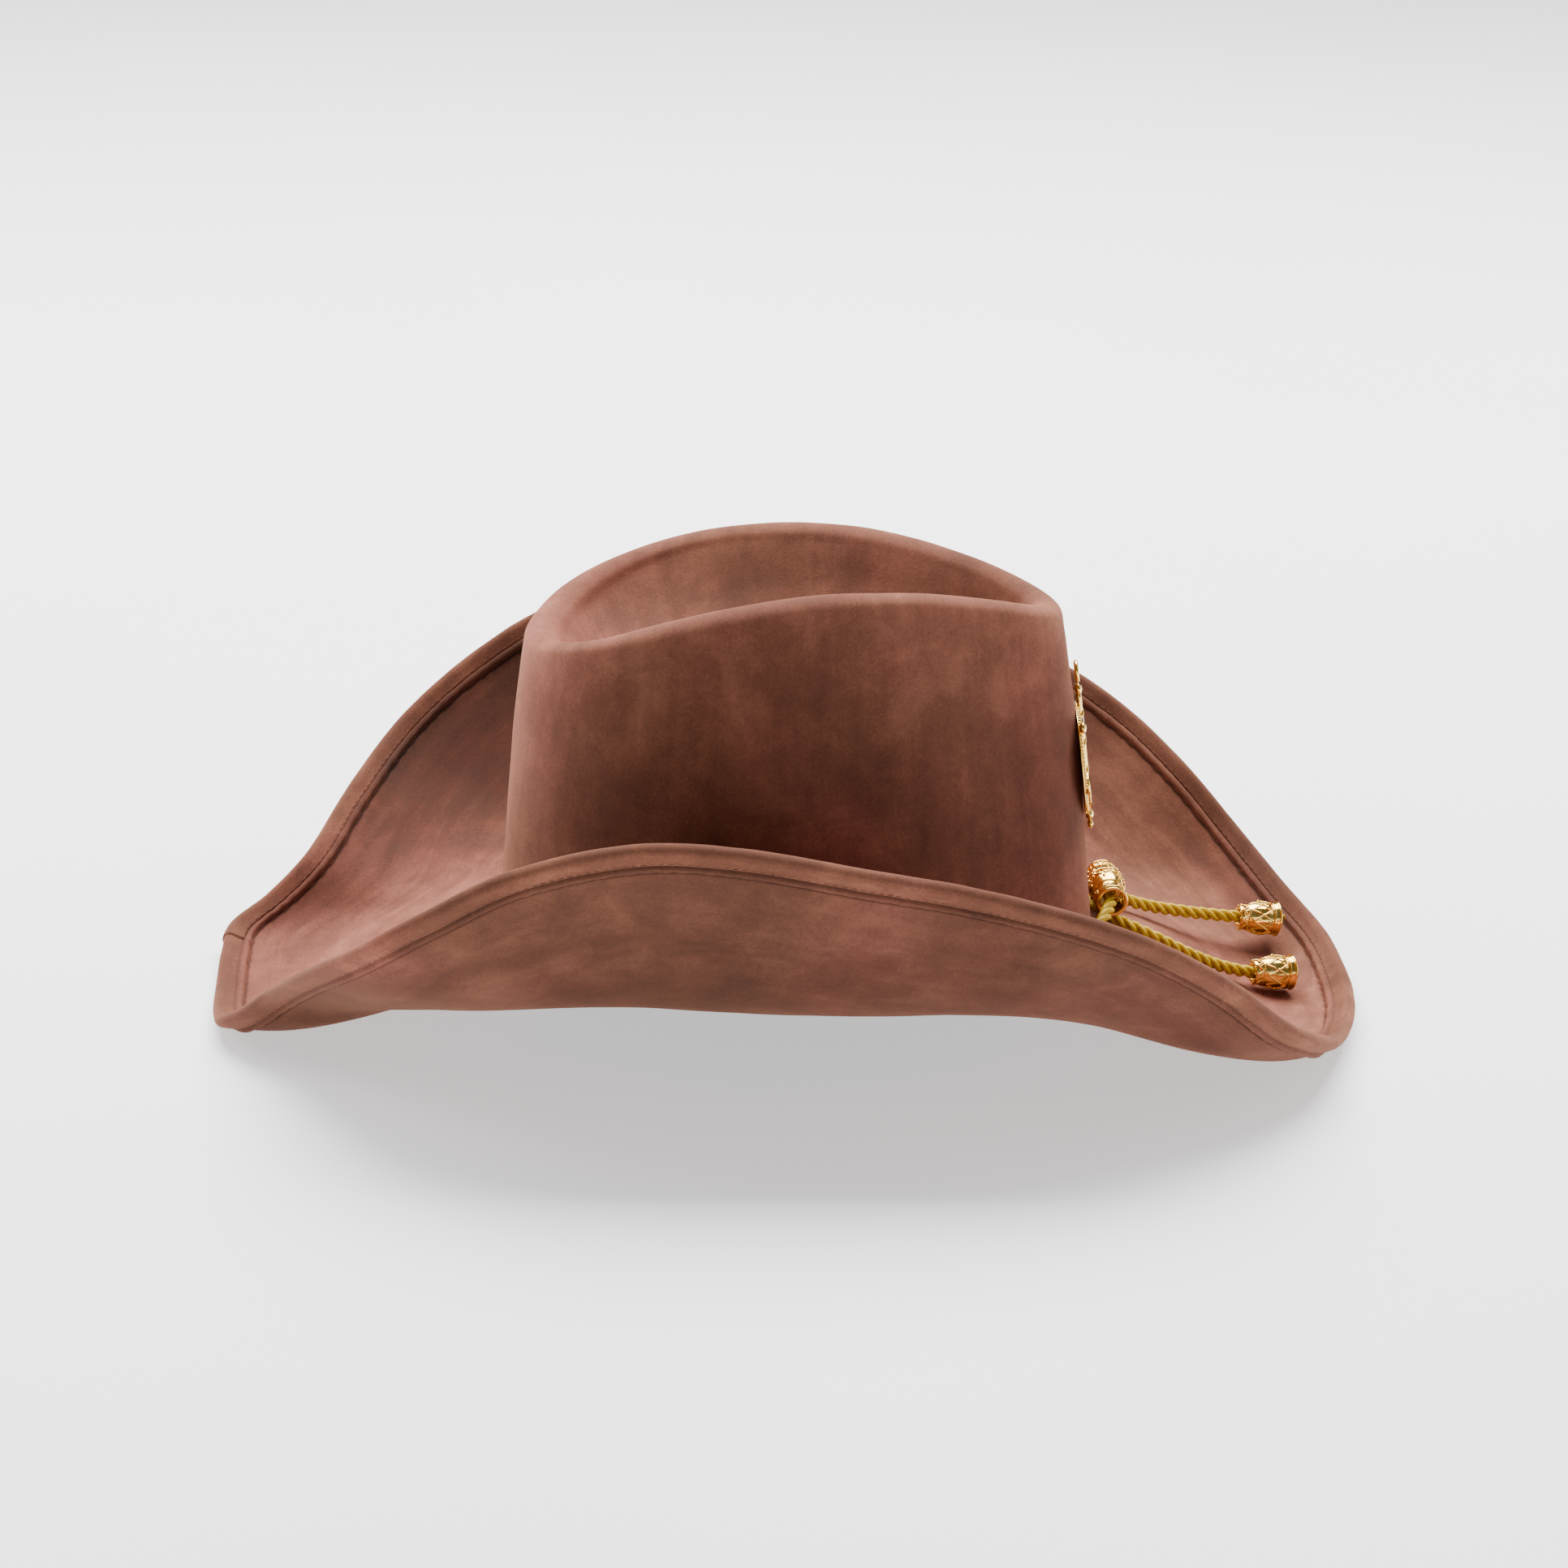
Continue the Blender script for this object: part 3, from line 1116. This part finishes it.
def make_badge(gold):
    """A domed oval plate with a rope border and rays, its anchor, and the ring on top."""
    build = Build()
    rows = []
    for share, height in PLATE_FRONT + tuple((share, PLATE_BACK) for share in (0.02, 0.6, 0.94)):
        rows.append(oval(BADGE_HALF_WIDTH * share, BADGE_HALF_HEIGHT * share) + (0, 0, height))
    build.put(np.array(rows), grid_faces(len(rows), 96, True))
    twist = np.arange(360) / 360 * 2 * math.pi
    for phase in (0, math.pi):
        swing = 0.5 * np.cos(twist * ROPE_TURNS + phase)
        rope = oval(1, 1, 360, 0)
        rope = rope * ((17.7, 18.7, 0) + swing[:, None]) + (0, BADGE_CENTRE, 1.2)
        rope[:, 2] += 0.3 * np.sin(twist * ROPE_TURNS + phase)
        build.tube(rope, 0.5, 6, True)
    for k in range(RAYS):
        angle = k / RAYS * 2 * math.pi
        ray = [(r * 16 * math.cos(angle), BADGE_CENTRE + r * 17 * math.sin(angle),
                1.05 + 0.1 * r) for r in (0.5, 0.7, 0.92)]
        build.tube(ray, [0.22, 0.3, 0.2], 5)
    place = badge_place()
    build.moved(place)
    settle(build.piece("badge_oval", gold), "gold", "hat", "badge_plate")
    make_anchor(gold, place)
    ring = Build()
    circle = oval(3.4, 3.4, 40, 30.1) + (0, 0, ANCHOR_LEVEL)
    ring.tube(circle, 0.75, 10, True)
    ring.moved(place)
    settle(ring.piece("badge_loop", gold), "gold", "hat", "badge_ring")


def make_anchor(gold, place):
    """Shank, stock, arms with their flukes, end balls and a cable wound round the shank."""
    level = ANCHOR_LEVEL
    build = Build()
    shank = np.linspace((0, 23, level), (0, -20, level), 16)
    build.tube(shank, np.linspace(0.95, 1.15, 16), 12)
    stock = np.linspace((-13.5, 13.5, level), (13.5, 13.5, level), 12)
    build.tube(stock, 1.0 - 0.25 * np.abs(np.linspace(-1, 1, 12)), 12)
    arms = through([(-15, -7.6, level), (-9.4, -16.4, level), (0, -20, level), (9.4, -16.4, level),
                    (15, -7.6, level)], 8)
    build.tube(arms, 1.2 - 0.45 * np.abs(np.linspace(-1, 1, len(arms))), 12)
    for side in (-1, 1):
        outline = np.array([(12, -12.4), (18, -9.6), (16.4, -2.4), (10.2, -7.4)]) * (side, 1)
        low = [(x, y, level - 0.6) for x, y in outline]
        high = [(x * 0.96, y * 0.97, level + 0.7) for x, y in outline]
        faces = [(0, 1, 2, 3), (7, 6, 5, 4)]
        faces += [(i, 4 + i, 4 + (i + 1) % 4, (i + 1) % 4) for i in range(4)]
        build.put(low + high, faces)
        build.ball((side * 14.2, 13.5, level), 2.1, (1, 1, 0.6))
    for y, size in ((-23, 2.3), (-26.6, 1.7), (23.6, 2.1)):
        build.ball((0, y, level), size, (1, 1, 0.65))
    t = np.linspace(0, 1, 120)
    turn = t * 7 * math.pi
    swing = 2.2 * np.cos(turn) * (1 - 0.15 * t)
    build.tube(np.stack([swing, 18 - 36 * t, level + 0.95 * np.sin(turn)], -1), 0.4, 7)
    build.moved(place)
    settle(build.piece("badge_anchor_cast", gold), "gold", "hat", "badge_anchor")


# ---- light and floor ----

LIGHT_TARGET = Vector((0, 0, 0.08))
WORLD_LIGHT = 0.15
# name, place, width and height, power
LIGHTS = (
    ("top_light", (0, 1.0, 1.9), (2.6, 1.8), 205),
    ("left_light", (-1.5, 0.45, 0.6), (0.8, 1.2), 17),
    ("right_light", (1.5, 0.2, 0.6), (0.8, 1.2), 6),
    ("front_light", (0, -1.9, 0.45), (1.8, 0.6), 4.5),
)
FLOOR_HALF, FLOOR_DROP = 14, 0.0003


def area_light(name, place, size, power):
    data = bpy.data.lights.new(name, "AREA")
    data.shape, data.size, data.size_y = "RECTANGLE", size[0], size[1]
    data.energy = power
    lamp = bpy.data.objects.new(name, data)
    lamp.location = place
    lamp.rotation_euler = (LIGHT_TARGET - Vector(place)).to_track_quat("-Z", "Y").to_euler()
    bpy.context.scene.collection.objects.link(lamp)


def make_studio():
    world = bpy.data.worlds.new("studio")
    world.use_nodes = True
    background = world.node_tree.nodes["Background"]
    background.inputs["Color"].default_value = FULL
    background.inputs["Strength"].default_value = WORLD_LIGHT
    bpy.context.scene.world = world
    for light in LIGHTS:
        area_light(*light)
    corners = [(x * FLOOR_HALF, y * FLOOR_HALF, 0) for x, y in ((-1, -1), (1, -1), (1, 1), (-1, 1))]
    mesh = bpy.data.meshes.new("floor")
    mesh.from_pydata(corners, [], [(0, 1, 2, 3)])
    mesh.materials.append(floor_paint("floor_paint"))
    floor = bpy.data.objects.new("floor", mesh)
    floor.location = (0, 0, -FLOOR_DROP)
    bpy.context.scene.collection.objects.link(floor)


def finish_cad_nodes(steel):
    """The small hidden fasteners keep their CAD shape and take the steel."""
    for name in ("badge_stud_upper", "badge_stud_lower", "badge_clutch_upper",
                 "badge_clutch_lower", "brim_wire_sleeve"):
        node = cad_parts[name]
        node.data.materials.clear()
        node.data.materials.append(steel)


# ---- scene ----

make_camera()
GOLD = polished_gold("gold_plate")
STEEL = plain_steel("steel")
make_cords(satin_cord("gold_yarn"), GOLD)
THREAD = felted("brown_thread", (96, 60, 47), (128, 84, 67))
BOARD = felted("stiff_board", (44, 36, 32), (70, 60, 54))
make_crown(suede("suede_crown", (90, 12, 1), 0.14, 1.08), BOARD)
make_sweatband(woven("sweatband_cloth", (26, 22, 20), (58, 50, 45), 900), THREAD)
BRIM = make_brim(suede("suede_brim_top", (20, 130, 1), 0.24, 1.03),
                 suede("suede_brim_under", (14, 80, 1), 0.15, 0.74, 0.48), BOARD, STEEL)
make_binding(BRIM, suede("suede_tape", (60, 300, 1), 0.16, 1.04, 0.54), THREAD)
make_badge(GOLD)
finish_cad_nodes(STEEL)
make_studio()
